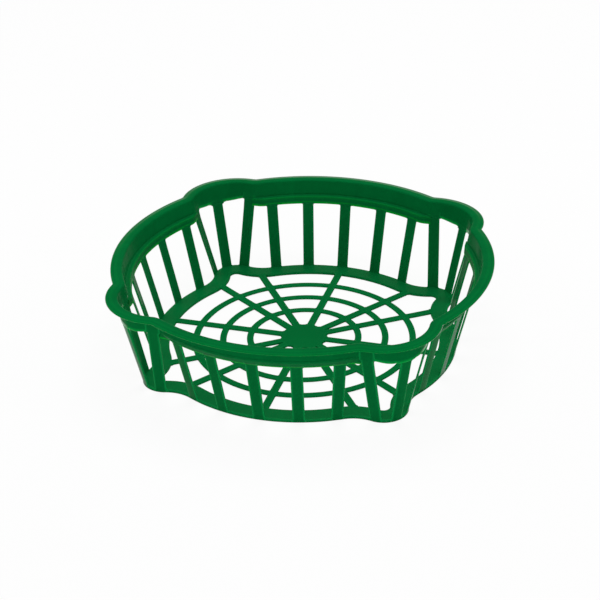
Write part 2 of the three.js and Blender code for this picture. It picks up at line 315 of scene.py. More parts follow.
def sweep(name, section, finish, strips, closed=False):
    """One piece: a section swept along strips of path points, each a dict of what the tree reads."""
    vectors = ("spot", "out", "up", "hang")
    numbers = ("plain", "curl_ahead", "curl_behind")
    points = [point for strip in strips for point in strip]
    edges = []
    first = 0
    for strip in strips:
        edges += [(first + step, first + step + 1) for step in range(len(strip) - 1)]
        if closed:
            edges.append((first + len(strip) - 1, first))
        first += len(strip)
    paths = bpy.data.meshes.new(name)
    paths.from_pydata([point["spot"] for point in points], edges, [])
    for key in vectors:
        flat = [number for point in points for number in point.get(key, Vector())]
        paths.attributes.new(key, "FLOAT_VECTOR", "POINT").data.foreach_set("vector", flat)
    for key in numbers:
        flat = [point.get(key, 0) for point in points]
        paths.attributes.new(key, "FLOAT", "POINT").data.foreach_set("value", flat)
    piece = bpy.data.objects.new(name, paths)
    bpy.context.scene.collection.objects.link(piece)

    modifier = piece.modifiers.new("moulding", "NODES")
    modifier.node_group = swept_section
    sockets = {item.name: item.identifier for item in swept_section.interface.items_tree}
    modifier[sockets["Section"]] = section
    modifier[sockets["Finish"]] = finish
    evaluated = piece.evaluated_get(bpy.context.evaluated_depsgraph_get())
    moulded = bpy.data.meshes.new_from_object(evaluated)
    piece.modifiers.remove(modifier)
    piece.data = moulded
    bpy.data.objects.remove(section)

    shape = bmesh.new()
    shape.from_mesh(moulded)
    bmesh.ops.recalc_face_normals(shape, faces=shape.faces)
    shape.to_mesh(moulded)
    shape.free()
    for key in (*vectors, *numbers, "reach", "rise", "low"):
        if key in moulded.attributes:
            moulded.attributes.remove(moulded.attributes[key])
    return piece


CLOUD_SCALE = 24.0
GRAIN_SCALE = 1500.0
GRAIN_DEPTH = 0.02
STREAKS_AROUND = 16.0
STREAKS_ALONG = 14.0
CLOUD_TONE, CLOUD_BASE = 0.30, 0.85
STREAK_TONE = 0.24
STREAK_ROUGHNESS = 0.16
GRAIN_ROUGHNESS = 0.12


def skin_and_glow_group():
    """Skin of the moulding: slow clouds in the colour, streaks where the melt ran out from the middle
    of the floor, and the fine grain of the tool. Along edges a paler green is painted in, a painted
    glow and highlight that stands for light through and off them."""
    group = bpy.data.node_groups.new("skin_and_edge_glow", "ShaderNodeTree")
    for name, kind in (
        ("Colour", "Color"),
        ("Painted Glow Colour", "Color"),
        ("Painted Edge Glow", "Float"),
        ("Roughness", "Float"),
        ("Grain", "Float"),
    ):
        group.interface.new_socket(name, in_out="INPUT", socket_type="NodeSocket" + kind)
    for name, kind in (("Colour", "Color"), ("Roughness", "Float"), ("Normal", "Vector")):
        group.interface.new_socket(name, in_out="OUTPUT", socket_type="NodeSocket" + kind)
    link = group.links.new
    node = partial(new_node, group)
    math_of = partial(math_node, group)

    def noise(vector, scale, detail):
        made = node("ShaderNodeTexNoise")
        made.inputs["Scale"].default_value = scale
        made.inputs["Detail"].default_value = detail
        link(vector, made.inputs["Vector"])
        return made.outputs["Fac"]

    entry = node("NodeGroupInput")
    leave = node("NodeGroupOutput")
    place = node("ShaderNodeTexCoord").outputs["Object"]
    clouds = noise(place, CLOUD_SCALE, detail=3.0)
    grain = noise(place, GRAIN_SCALE, detail=2.0)

    # Streaks run outwards: fine around the basket, long along the flow
    split = node("ShaderNodeSeparateXYZ")
    link(place, split.inputs["Vector"])
    x, y, z = (split.outputs[axis] for axis in "XYZ")
    flow = node("ShaderNodeCombineXYZ")
    around = math_of("ARCTAN2", y, x)
    link(math_of("MULTIPLY", around, STREAKS_AROUND), flow.inputs["X"])
    radius = math_of("SQRT", math_of("ADD", math_of("MULTIPLY", x, x), math_of("MULTIPLY", y, y)))
    link(math_of("MULTIPLY", radius, STREAKS_ALONG), flow.inputs["Y"])
    link(math_of("MULTIPLY", z, STREAKS_ALONG), flow.inputs["Z"])
    streaks = noise(flow.outputs["Vector"], scale=1.0, detail=3.0)

    tone = math_of(
        "ADD",
        math_of("MULTIPLY_ADD", clouds, CLOUD_TONE, CLOUD_BASE),
        math_of("MULTIPLY_ADD", streaks, STREAK_TONE, -STREAK_TONE / 2),
    )
    toned = node("ShaderNodeMix", data_type="RGBA", blend_type="MULTIPLY")
    toned.inputs["Factor"].default_value = 1.0
    link(entry.outputs["Colour"], toned.inputs["A"])
    grey = node("ShaderNodeCombineColor")
    for channel in ("Red", "Green", "Blue"):
        link(tone, grey.inputs[channel])
    link(grey.outputs["Color"], toned.inputs["B"])
    # Painted glow and highlight: a paler green mixed in along edges by their weight
    glow_mixed = node("ShaderNodeMix", data_type="RGBA")
    link(entry.outputs["Painted Edge Glow"], glow_mixed.inputs["Factor"])
    link(toned.outputs["Result"], glow_mixed.inputs["A"])
    link(entry.outputs["Painted Glow Colour"], glow_mixed.inputs["B"])
    link(glow_mixed.outputs["Result"], leave.inputs["Colour"])

    worn = math_of("MULTIPLY_ADD", streaks, STREAK_ROUGHNESS, -STREAK_ROUGHNESS / 2)
    fine = math_of("MULTIPLY_ADD", grain, GRAIN_ROUGHNESS, -GRAIN_ROUGHNESS / 2)
    rough = math_of("ADD", entry.outputs["Roughness"], math_of("ADD", worn, fine))
    link(rough, leave.inputs["Roughness"])

    bump = node("ShaderNodeBump")
    bump.inputs["Distance"].default_value = GRAIN_DEPTH * MM
    link(entry.outputs["Grain"], bump.inputs["Strength"])
    link(grain, bump.inputs["Height"])
    link(bump.outputs["Normal"], leave.inputs["Normal"])
    return group


skin_and_edge_glow = skin_and_glow_group()
PLASTIC_IOR = 1.49
GLOSS_ROUGHNESS = 0.15
GLOSS_STARTS, GLOSS_FULL = 0.55, 0.70
EDGE_BEGINS = 0.03
GREEN = (0.0006, 0.138, 0.031, 1)
# Paler greens painted along edges: a painted glow and highlight for light through and off them, not the
# plastic's own colour
LEDGE_PAINTED_GLOW = (0.0008, 0.380, 0.022, 1)
RIM_PAINTED_GLOW = (0.003, 0.370, 0.055, 1)
PALE_PAINTED_GLOW = (0.006, 0.360, 0.085, 1)


def green_plastic(name, roughness, grain, specular, painted_glow_colour, gloss=0.0, flat_gloss=0.0):
    """The basket's green, with the gloss that this part of the tool left on it at a low angle.
    The gloss is full along the edges that carry the painted glow, and flat_gloss says how much of it
    the flat faces keep.
    The edge colour given is painted in along those edges, a painted glow and highlight."""
    material = bpy.data.materials.new(name)
    material.use_nodes = True
    nodes = material.node_tree.nodes
    link = material.node_tree.links.new
    shader = nodes["Principled BSDF"]
    shader.inputs["Specular IOR Level"].default_value = specular
    shader.inputs["IOR"].default_value = PLASTIC_IOR
    edge = nodes.new("ShaderNodeAttribute")
    edge.attribute_name = "edge"
    if gloss:
        shader.inputs["Coat Roughness"].default_value = GLOSS_ROUGHNESS
        low_angle = nodes.new("ShaderNodeLayerWeight")
        low_angle.inputs["Blend"].default_value = 0.5
        rise = nodes.new("ShaderNodeMapRange")
        rise.interpolation_type = "SMOOTHSTEP"
        rise.inputs["From Min"].default_value = GLOSS_STARTS
        rise.inputs["From Max"].default_value = GLOSS_FULL
        rise.inputs["To Max"].default_value = gloss
        link(low_angle.outputs["Facing"], rise.inputs["Value"])
        near_edge = nodes.new("ShaderNodeMapRange")
        near_edge.inputs["From Max"].default_value = EDGE_BEGINS
        near_edge.inputs["To Min"].default_value = flat_gloss
        link(edge.outputs["Fac"], near_edge.inputs["Value"])
        sheen = (rise.outputs["Result"], near_edge.outputs["Result"])
        link(math_node(material.node_tree, "MULTIPLY", *sheen), shader.inputs["Coat Weight"])
    skin = nodes.new("ShaderNodeGroup")
    skin.node_tree = skin_and_edge_glow
    skin.inputs["Colour"].default_value = GREEN
    skin.inputs["Painted Glow Colour"].default_value = painted_glow_colour
    skin.inputs["Roughness"].default_value = roughness
    skin.inputs["Grain"].default_value = grain
    # The edge weights mix the paler green in along edges: a painted glow and highlight
    link(edge.outputs["Fac"], skin.inputs["Painted Edge Glow"])
    link(skin.outputs["Colour"], shader.inputs["Base Color"])
    link(skin.outputs["Roughness"], shader.inputs["Roughness"])
    link(skin.outputs["Normal"], shader.inputs["Normal"])
    return material


def on_basket(piece, *nodes):
    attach(piece, "root")
    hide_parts(*nodes)


rim_outline = make_outline(
    side_reach=101.3, side_radius=102.65, lobe_proud=9.0, lobe_radius=29.8, notch_radius=3.9
)
rim_plastic = green_plastic(
    "rim_plastic",
    roughness=0.25,
    grain=0.10,
    specular=0.002,
    painted_glow_colour=RIM_PAINTED_GLOW,
    gloss=0.9,
    flat_gloss=0.1,
)
UPRIGHT = Vector((0, 0, 1))

rim_section = section_object(
    "rim_section",
    rounded_section(
        (
            (BAND_FACE, BAND_BOTTOM + BAND_SLANT_IN, BAND_INNER_EDGE_ROUND, BAND_INNER_GLOW),
            (BAND_FACE + WALL, BAND_OUTER_EDGE, BAND_OUTER_EDGE_ROUND, BAND_OUTER_GLOW),
            (-LIP_WIDTH + WALL, BAND_TOP, LIP_ROOT_ROUND, 0),
            (0, BAND_TOP + LIP_UNDER_RISE, LIP_UNDER_ROUND, LIP_UNDER_GLOW),
            (0, LIP_TOP - LIP_FALL, LIP_EDGE_ROUND, LIP_EDGE_GLOW),
            (-LIP_CROWN_PLACE, LIP_TOP, LIP_CROWN_ROUND, LIP_CROWN_GLOW),
            (-LIP_WIDTH + LIP_INNER_SET, LIP_TOP - LIP_INNER_FALL, LIP_INNER_ROUND, 0),
        ),
        glow=RIM_GLOW_REACH,
    ),
    HANG_TOP,
    HANG_BOTTOM,
)

GUSSET_DROP = 0.5
GUSSET_REACH = 4.2
GUSSET_RUN = 1.5
LOBE_DROP = 0.2
LOBE_EDGE_RISE = 1.9
LOBE_RISE_FROM, LOBE_RISE_TO = 0.4, 1.15
SIDE_RISE = 2.4
SIDE_RUN = 1.5
RIM_STEPS = (44, 10, 24)


def lower_edge(distance):
    """How far the band's lower edge hangs, and how plain it is, a distance around the rim.
    A plain edge has no painted glow.
    """
    half = arc_start(rim_outline, 3)
    from_lobe = abs((distance % (2 * half)) - half)
    lobe_length = arc_length(rim_outline[2])
    wall_share = 1 - (LIP_WIDTH + BAND_LEAN - WALL / 2) / rim_outline[2][1]
    from_slat = from_lobe * wall_share
    notch_slat = lobe_length * wall_share - SLAT_WIDTH / 2
    gusset = GUSSET_DROP * (1 - smooth(GUSSET_REACH, GUSSET_REACH + GUSSET_RUN, from_slat))
    risen = smooth(LOBE_RISE_FROM * notch_slat, LOBE_RISE_TO * notch_slat, from_slat)
    in_lobe = LOBE_DROP + gusset - LOBE_EDGE_RISE * risen
    on_side = smooth(lobe_length, lobe_length + SIDE_RUN, from_lobe)
    return in_lobe - (SIDE_RISE + in_lobe) * on_side, on_side


rim_path = []
for distance in stations(rim_outline, RIM_STEPS):
    point, out = outline_at(rim_outline, distance)
    hang, plain = lower_edge(distance)
    rim_path.append(
        {
            "spot": point.to_3d() * MM,
            "out": out.to_3d(),
            "up": UPRIGHT,
            "hang": UPRIGHT * -hang * MM,
            "plain": plain,
        }
    )
rim = sweep("rim", rim_section, rim_plastic, [rim_path], closed=True)
on_basket(rim, "rim_lip", "rim_band")

# Ledges: a shoulder and a short strip below it, inside each of the four long sides, where a second
# basket stacks. Part of the same moulding: outside, the wall slopes in from the band to the strip,
# and each ledge runs out into the slats beside the notches.
LEDGE_RISE = 2.0
LEDGE_DROP = 2.6
LEDGE_INNER_TOP = 2.3
LEDGE_INNER_BOTTOM = 2.75
LEDGE_OUTER = 1.22
LEDGE_OUTER_RISE = 1.6
LEDGE_OUTER_ROUND = 1.2
LEDGE_OUTER_LAP = 0.1
LEDGE_OUTER_LAP_RISE = 1.0
LEDGE_LAP = 0.45
LEDGE_LAP_RISE = 1.6
LEDGE_CREASE_LAP = 0.28
LEDGE_CREASE_RISE = 0.05
LEDGE_CREASE_FILLET = 1.1
LEDGE_SHOULDER_ROUND = 0.5
LEDGE_LOWER_ROUND = 0.4
LEDGE_HIDDEN_ROUND = 0.05
# Paler green painted along the shoulder, a painted highlight, and along the strip's lower edge, a
# painted glow
LEDGE_GLOW_REACH = 1.6
LEDGE_SHOULDER_GLOW, LEDGE_LOWER_GLOW = 0.15, 1.0
LEDGE_SIDE_STEPS = 44
LEDGE_NOTCH_STEPS = 14
LEDGE_END_TAPER = 7.0
LEDGE_END_SHARE = 0.3
LEDGE_END_DEPTH = 1.2
SIDE_NAMES = ("right", "back", "left", "front")

ledge_plastic = green_plastic(
    "ledge_plastic", roughness=0.30, grain=0.12, specular=0.008, painted_glow_colour=LEDGE_PAINTED_GLOW
)


def ledge_section():
    """Reach inwards from the band's lower edge, and rise above it. Its top laps into the band."""
    lap_top = LEDGE_OUTER_RISE + LEDGE_OUTER_LAP_RISE
    return section_object(
        "ledge_section",
        rounded_section(
            (
                (-LEDGE_LAP, LEDGE_RISE + LEDGE_LAP_RISE, LEDGE_HIDDEN_ROUND, 0),
                (-LEDGE_CREASE_LAP, LEDGE_RISE + LEDGE_CREASE_RISE, LEDGE_CREASE_FILLET, 0),
                (LEDGE_INNER_TOP, LEDGE_RISE, LEDGE_SHOULDER_ROUND, LEDGE_SHOULDER_GLOW),
                (LEDGE_INNER_BOTTOM, -LEDGE_DROP, LEDGE_LOWER_ROUND, LEDGE_LOWER_GLOW),
                (LEDGE_INNER_BOTTOM - WALL, -LEDGE_DROP, LEDGE_LOWER_ROUND, LEDGE_LOWER_GLOW),
                (-LEDGE_OUTER, LEDGE_OUTER_RISE, LEDGE_OUTER_ROUND, 0),
                (-LEDGE_OUTER - LEDGE_OUTER_LAP, lap_top, LEDGE_HIDDEN_ROUND, 0),
            ),
            glow=LEDGE_GLOW_REACH,
        ),
    )


notch_stretch = 1 + (LIP_WIDTH + BAND_LEAN) / rim_outline[1][1]
slat_edge = arc_start(rim_outline, 2) - SLAT_WIDTH / 2 / notch_stretch
ledge_half = slat_edge + LEDGE_END_DEPTH / notch_stretch
for quarter, side in enumerate(SIDE_NAMES):
    middle = quarter * 2 * arc_start(rim_outline, 3)
    side_half = arc_start(rim_outline, 1)
    end_run = ledge_half - side_half
    halves = [side_half * step / LEDGE_SIDE_STEPS for step in range(LEDGE_SIDE_STEPS)]
    for step in range(LEDGE_NOTCH_STEPS + 1):
        halves.append(side_half + end_run * step / LEDGE_NOTCH_STEPS)
    path = []
    for local in [-distance for distance in reversed(halves[1:])] + halves:
        point, out = outline_at(rim_outline, middle + local)
        left = (ledge_half - abs(local)) * notch_stretch
        full = LEDGE_END_SHARE + (1 - LEDGE_END_SHARE) * smooth(0, LEDGE_END_TAPER, left)
        path.append(
            {
                "spot": (point + out * BAND_FACE).to_3d() * MM + UPRIGHT * BAND_BOTTOM * MM,
                "out": -out.to_3d() * full,
                "up": UPRIGHT,
            }
        )
    ledge = sweep("ledge_strip_" + side, ledge_section(), ledge_plastic, [path])
    on_basket(ledge, "ledge_" + side)

# Foot ring: the flat ring that the basket stands on, which carries the slats along its outer edge.
# Green polypropylene, moulded in one with the slats and the web; its outer lower edge is rounded.
FOOT_WIDTH = 9.5
FOOT_THICKNESS = 1.6
FOOT_OUTER_ROUND = 0.4
FOOT_INNER_ROUND = 0.45
FOOT_UNDER_ROUND = 0.3
# Paler green painted along two of the foot ring's edges, a painted highlight
FOOT_EDGE_GLOW = 0.2
FOOT_STEPS = (36, 14, 16)

foot_outline = make_outline(
    side_reach=83.0, side_radius=82.75, lobe_proud=11.9, lobe_radius=12.9, notch_radius=18.5
)
floor_plastic = green_plastic(
    "floor_plastic", roughness=0.45, grain=0.16, specular=0.015, painted_glow_colour=PALE_PAINTED_GLOW
)
foot_section = section_object(
    "foot_section",
    rounded_section(
        (
            (-FOOT_WIDTH, 0, FOOT_UNDER_ROUND, FOOT_EDGE_GLOW),
            (0, 0, FOOT_OUTER_ROUND, 0),
            (0, FOOT_THICKNESS, FOOT_OUTER_ROUND, FOOT_EDGE_GLOW),
            (-FOOT_WIDTH, FOOT_THICKNESS, FOOT_INNER_ROUND, 0),
        )
    ),
)
foot_path = []
for distance in stations(foot_outline, FOOT_STEPS):
    point, out = outline_at(foot_outline, distance)
    foot_path.append({"spot": point.to_3d() * MM, "out": out.to_3d(), "up": UPRIGHT})
foot_ring = sweep("foot_ring_flat", foot_section, floor_plastic, [foot_path], closed=True)
on_basket(foot_ring, "foot_ring")

# Slats: the upright bars of the wall, five to a side, one beside each notch and one to each lobe.
# Strips of the same moulded wall: they curve with it, flare at both ends, and lap the foot ring's edge.
SLAT_THICKNESS = 0.9
SIDE_SLAT_PLACES = (-1, -0.511, 0, 0.511, 1)
END_SLAT_TOP_SHARE = 0.882
END_SLAT_FOOT_SHARE = 0.929
NOTCH_SLAT_FOOT_SHIFT = 2.3
SLAT_FOOT_FILLET = 0.5
SLAT_FOOT_LAP = 0.1
# Height, share of the thickness, and tuck, of the steps that round a slat's end under the foot ring
SLAT_FOOT_ROUND = ((0.06, 0.5, 0.4), (0.14, 0.8, 0.2), (0.28, 0.95, 0.08), (0.5, 1.0, 0.01))
SLAT_TOP_FILLET = 0.9
SLAT_PROUD = 0.1
SLAT_SWELL = 0.2
SLAT_SWELL_RUN = 5
SLAT_EDGE_ROUND = 0.36
# Paler green painted along the slats' edges, a painted highlight, strongest on the outer ones
SLAT_GLOW_REACH = 0.8
SLAT_INNER_GLOW, SLAT_OUTER_GLOW = 0.18, 0.5
SLAT_FACE_STEPS = 5
SLAT_HEIGHT_STEPS = 10
CURL_TRIES = 4
FILLET_STEPS = 5
FILLET_SET = 0.02
ROOT_STEPS = 6
ROOT_THINNING = 0.02
ROOT_END_SHARE = 0.4
PROUD_FADE = 0.5
SIDE_SLAT_LAP = 0.1
SIDE_SLAT_ROOT = 2.4
NOTCH_SLAT_LAP = 1.2
NOTCH_SLAT_ROOT = 6.0
NOTCH_SLAT_PROUD = 0.3
LOBE_SLAT_INSET = 0.05
LOBE_SLAT_ROOT = 3.0

wall_plastic = green_plastic(
    "wall_plastic",
    roughness=0.30,
    grain=0.12,
    specular=0.006,
    painted_glow_colour=PALE_PAINTED_GLOW,
    gloss=0.26,
    flat_gloss=1.0,
)


def slat_section():
    """Way along the wall, and out through it. Its broad faces have points to curl with the wall."""
    half = SLAT_WIDTH / 2
    skin = SLAT_THICKNESS / 2
    rounded = rounded_section(
        (
            (-half, -skin, SLAT_EDGE_ROUND, SLAT_INNER_GLOW),
            (half, -skin, SLAT_EDGE_ROUND, SLAT_INNER_GLOW),
            (half, skin, SLAT_EDGE_ROUND, SLAT_OUTER_GLOW),
            (-half, skin, SLAT_EDGE_ROUND, SLAT_OUTER_GLOW),
        ),
        arc_steps=4,
        glow=SLAT_GLOW_REACH,
    )
    points = []
    for here, after in zip(rounded, rounded[1:] + rounded[:1]):
        points.append(here)
        if abs(after[0] - here[0]) > half:
            for step in range(1, SLAT_FACE_STEPS):
                share = step / SLAT_FACE_STEPS
                points.append(tuple(a + (b - a) * share for a, b in zip(here, after)))
    return section_object("slat_section", points)


def curl_of(outline, distance, offset, way):
    """Curvature of the wall to one side of a slat's middle, so far off the outline."""
    point, out = outline_at(outline, distance)
    middle = point + out * offset
    step = way
    for _ in range(CURL_TRIES):
        beside, beside_out = outline_at(outline, distance + step)
        chord = beside + beside_out * offset - middle
        step *= abs(way) / chord.length
    return -2 * chord.dot(out) / way**2


def band_face(height):
    return -LIP_WIDTH - BAND_LEAN * (BAND_TOP - height) / (BAND_TOP - BAND_BOTTOM)


def ledge_face(height):
    fall = (BAND_BOTTOM + LEDGE_RISE - height) / (LEDGE_RISE + LEDGE_DROP)
    return BAND_FACE - LEDGE_INNER_TOP - (LEDGE_INNER_BOTTOM - LEDGE_INNER_TOP) * fall


def slat_path(foot_distance, top_distance, face, joint, root, inset=0.0, proud=0.0, slope=0.0):
    """Path of one slat, up the middle of the wall from under the foot ring into the rim.
    It swells to the rim's thickness where it joins. A proud one stands further in there, and above
    the joint a sloped one widens outwards with the wall."""
    foot_point, foot_out = outline_at(foot_outline, foot_distance)
    rim_point, rim_out = outline_at(rim_outline, top_distance)
    half = SLAT_WIDTH / 2
    foot_offset = SLAT_PROUD - SLAT_THICKNESS / 2 - inset
    top_offset = face(joint) + WALL / 2 - inset
    curls = {}
    for key, way in (("curl_ahead", half), ("curl_behind", -half)):
        at_foot = curl_of(foot_outline, foot_distance, foot_offset, way)
        at_top = curl_of(rim_outline, top_distance, top_offset, way)
        curls[key] = (at_foot, at_top)

    def at_height(height, flare=0.0, thick=1.0, tuck=0.0):
        share = min(max((height - FOOT_THICKNESS) / (joint - FOOT_THICKNESS), 0), 1)
        low = foot_point + foot_out * (foot_offset - tuck)
        near = smooth(joint - SLAT_SWELL_RUN, joint, height)
        extra = proud * near * (1 - smooth(joint + PROUD_FADE, joint + root, height))
        widened = slope * max(height - joint, 0)
        skin = 1 + SLAT_SWELL * near + (extra + widened) / SLAT_THICKNESS
        middle = face(max(height, joint)) + WALL / 2 - inset + (widened - extra) / 2
        high = rim_point + rim_out * middle
        spot = low.lerp(high, share)
        out = foot_out.lerp(rim_out, share).normalized()
        across = Vector((-out.y, out.x, 0))
        run = (high - low).to_3d() + UPRIGHT * (joint - FOOT_THICKNESS)
        if share in (0, 1):
            run = UPRIGHT
        facing = across.cross(run.normalized()).normalized()
        made = {
            "spot": (spot.to_3d() + UPRIGHT * height) * MM,
            "out": across * (1 + flare / half),
            "up": facing * thick * skin,
        }
        for key, (at_foot, at_top) in curls.items():
            made[key] = (at_foot + (at_top - at_foot) * share) / MM
        return made

    path = []
    for height, thick, tuck in SLAT_FOOT_ROUND:
        path.append(at_height(height, SLAT_FOOT_FILLET, thick, tuck))
    path.append(at_height(FOOT_THICKNESS - SLAT_FOOT_LAP, SLAT_FOOT_FILLET))
    for step in range(FILLET_STEPS + 1):
        angle = math.pi / 2 * step / FILLET_STEPS
        height = FOOT_THICKNESS + SLAT_FOOT_FILLET * (1 - math.cos(angle)) + FILLET_SET
        path.append(at_height(height, SLAT_FOOT_FILLET * (1 - math.sin(angle))))
    low = FOOT_THICKNESS + SLAT_FOOT_FILLET + FILLET_SET
    high = joint - SLAT_TOP_FILLET
    for step in range(1, SLAT_HEIGHT_STEPS):
        path.append(at_height(low + (high - low) * step / SLAT_HEIGHT_STEPS))
    for step in range(FILLET_STEPS + 1):
        angle = math.pi / 2 * step / FILLET_STEPS
        height = high + SLAT_TOP_FILLET * math.sin(angle)
        path.append(at_height(height, SLAT_TOP_FILLET * (1 - math.cos(angle))))
    for step in range(1, ROOT_STEPS):
        height = joint + root * step / ROOT_STEPS
        path.append(at_height(height, SLAT_TOP_FILLET, 1 - ROOT_THINNING * step))
    path.append(at_height(joint + root, SLAT_TOP_FILLET, ROOT_END_SHARE))
    return path


side_paths, notch_paths, lobe_paths = [], [], []
side_nodes, notch_nodes, lobe_nodes = [], [], []
STRIP_BOTTOM = BAND_BOTTOM - LEDGE_DROP
LEDGE_SLOPE = (LEDGE_OUTER + LEDGE_INNER_BOTTOM - WALL) / (LEDGE_OUTER_RISE + LEDGE_DROP)
for quarter, side in enumerate(SIDE_NAMES):
    rim_turn = quarter * 2 * arc_start(rim_outline, 3)
    foot_turn = quarter * 2 * arc_start(foot_outline, 3)
    for slat, along in enumerate(SIDE_SLAT_PLACES):
        on_foot = foot_turn + along * END_SLAT_FOOT_SHARE * arc_start(foot_outline, 1)
        on_rim = rim_turn + along * END_SLAT_TOP_SHARE * arc_start(rim_outline, 1)
        joint = STRIP_BOTTOM + SIDE_SLAT_LAP
        side_paths.append(
            slat_path(on_foot, on_rim, ledge_face, joint, SIDE_SLAT_ROOT, slope=LEDGE_SLOPE)
        )
        side_nodes.append(f"slat_{side}_{slat + 1}")
    for letter, way in (("a", -1), ("b", 1)):
        on_foot = foot_turn + way * (arc_start(foot_outline, 2) + NOTCH_SLAT_FOOT_SHIFT)
        on_rim = rim_turn + way * arc_start(rim_outline, 2)
        joint = BAND_BOTTOM + NOTCH_SLAT_LAP
        notch_paths.append(
            slat_path(on_foot, on_rim, band_face, joint, NOTCH_SLAT_ROOT, proud=NOTCH_SLAT_PROUD)
        )
        notch_nodes.append(f"notch_slat_{side}_{letter}")
    on_foot = foot_turn + arc_start(foot_outline, 3)
    on_rim = rim_turn + arc_start(rim_outline, 3)
    joint = BAND_OUTER_EDGE - GUSSET_DROP
    lobe_paths.append(
        slat_path(on_foot, on_rim, band_face, joint, LOBE_SLAT_ROOT, inset=LOBE_SLAT_INSET)
    )
    lobe_nodes.append(f"lobe_slat_{side}_{SIDE_NAMES[(quarter + 1) % 4]}")

for name, paths, nodes in (
    ("side_slats", side_paths, side_nodes),
    ("notch_slats", notch_paths, notch_nodes),
    ("lobe_slats", lobe_paths, lobe_nodes),
):
    slats = sweep(name, slat_section(), wall_plastic, paths)
    on_basket(slats, *nodes)

# Web rings: three concentric ribs of the open floor, a little above the ground.
# Green polypropylene ribs with rounded tops, moulded in one with the spokes that cross them.
WEB_BOTTOM = 0.4
WEB_TOP = 1.6
RING_WIDTH = 3.6
RING_RADII = {"inner": 29.5, "middle": 44.2, "outer": 59.1}
RING_STEPS = 168
RING_TOP = WEB_TOP - 0.05
RIB_TOP_ROUND = 0.55
RIB_UNDER_ROUND = 0.2
# Paler green painted along the ribs' edges, a painted highlight
RIB_TOP_GLOW, RIB_UNDER_GLOW = 0.1, 0.2

web_plastic = green_plastic(
    "web_plastic", roughness=0.45, grain=0.16, specular=0.006, painted_glow_colour=PALE_PAINTED_GLOW
)


def rib_section(name, width, top):
    return section_object(
        name,
        rounded_section(
            (
                (-width / 2, WEB_BOTTOM, RIB_UNDER_ROUND, RIB_UNDER_GLOW),
                (width / 2, WEB_BOTTOM, RIB_UNDER_ROUND, RIB_UNDER_GLOW),
                (width / 2, top, RIB_TOP_ROUND, RIB_TOP_GLOW),
                (-width / 2, top, RIB_TOP_ROUND, RIB_TOP_GLOW),
            ),
            arc_steps=4,
        ),
    )


for place, radius in RING_RADII.items():
    path = []
    for step in range(RING_STEPS):
        angle = 2 * math.pi * step / RING_STEPS
        out = Vector((math.cos(angle), math.sin(angle), 0))
        path.append({"spot": out * radius * MM, "out": out, "up": UPRIGHT})
    section = rib_section("ring_section", RING_WIDTH, RING_TOP)
    ring = sweep(f"floor_ring_{place}", section, web_plastic, [path], closed=True)
    on_basket(ring, f"web_ring_{place}")

# Spokes: twelve straight ribs from the hub to the foot ring, one to each side's middle and two to
# each lobe. Same ribs as the rings, filleted where they cross them and where they end.
SPOKE_WIDTH = 4.1
SPOKE_TOP = WEB_TOP + 0.03
CORNER_SPREAD = 9.9
SPOKE_TURNS = (0, 45 - CORNER_SPREAD, 45 + CORNER_SPREAD)
HUB_RADIUS = 12.5
SPOKE_START = 10.0
SPOKE_ROOT = 2.5
SPOKE_ROOT_SINK = 0.04
SPOKE_FILLET_STEPS = 5
FLOOR_EDGE_STEPS = (90, 40, 60)
AIM_WEIGHT = 20
CROSSING_FILLET = 0.4
HUB_FILLET = 0.8
FOOT_FILLET = 0.5

floor_edge = []
for distance in stations(foot_outline, FLOOR_EDGE_STEPS):
    point, out = outline_at(foot_outline, distance)
    floor_edge.append(point - out * FOOT_WIDTH)


def edge_along(along, across):
    """How far out the foot ring's inner edge lies along a spoke."""
    nearest = max(floor_edge, key=lambda point: point.dot(along) - AIM_WEIGHT * abs(point.dot(across)))
    return nearest.dot(along)


spoke_paths = []
for degrees in [90 * quarter + turn for quarter in range(4) for turn in SPOKE_TURNS]:
    angle = math.radians(degrees)
    along = Vector((math.cos(angle), math.sin(angle)))
    across = Vector((-along.y, along.x))
    end = edge_along(along, across)
    joints = [(0, HUB_RADIUS, HUB_FILLET), (end, end + SPOKE_ROOT, FOOT_FILLET)]
    for radius in RING_RADII.values():
        joints.append((radius - RING_WIDTH / 2, radius + RING_WIDTH / 2, CROSSING_FILLET))
    places = {SPOKE_START, end + SPOKE_ROOT}
    for start, stop, fillet in joints:
        for step in range(SPOKE_FILLET_STEPS + 1):
            away = fillet * (step / SPOKE_FILLET_STEPS) ** 2
            places |= {start - away, stop + away}
    path = []
    for place in sorted(place for place in places if SPOKE_START <= place <= end + SPOKE_ROOT):
        flare = 0.0
        for start, stop, fillet in joints:
            away = max(start - place, place - stop, 0)
            if away < fillet:
                flare = max(flare, fillet - math.sqrt(fillet**2 - (fillet - away) ** 2))
        path.append(
            {
                "spot": along.to_3d() * place * MM,
                "out": across.to_3d() * (1 + flare / (SPOKE_WIDTH / 2)),
                "up": UPRIGHT * (1 - SPOKE_ROOT_SINK * smooth(end, end + SPOKE_ROOT, place)),
            }
        )
    spoke_paths.append(path)
spoke_section = rib_section("spoke_section", SPOKE_WIDTH, SPOKE_TOP)
spokes = sweep("floor_spokes", spoke_section, web_plastic, spoke_paths)
on_basket(spokes, *(f"spoke_{number + 1:02d}" for number in range(len(spoke_paths))))

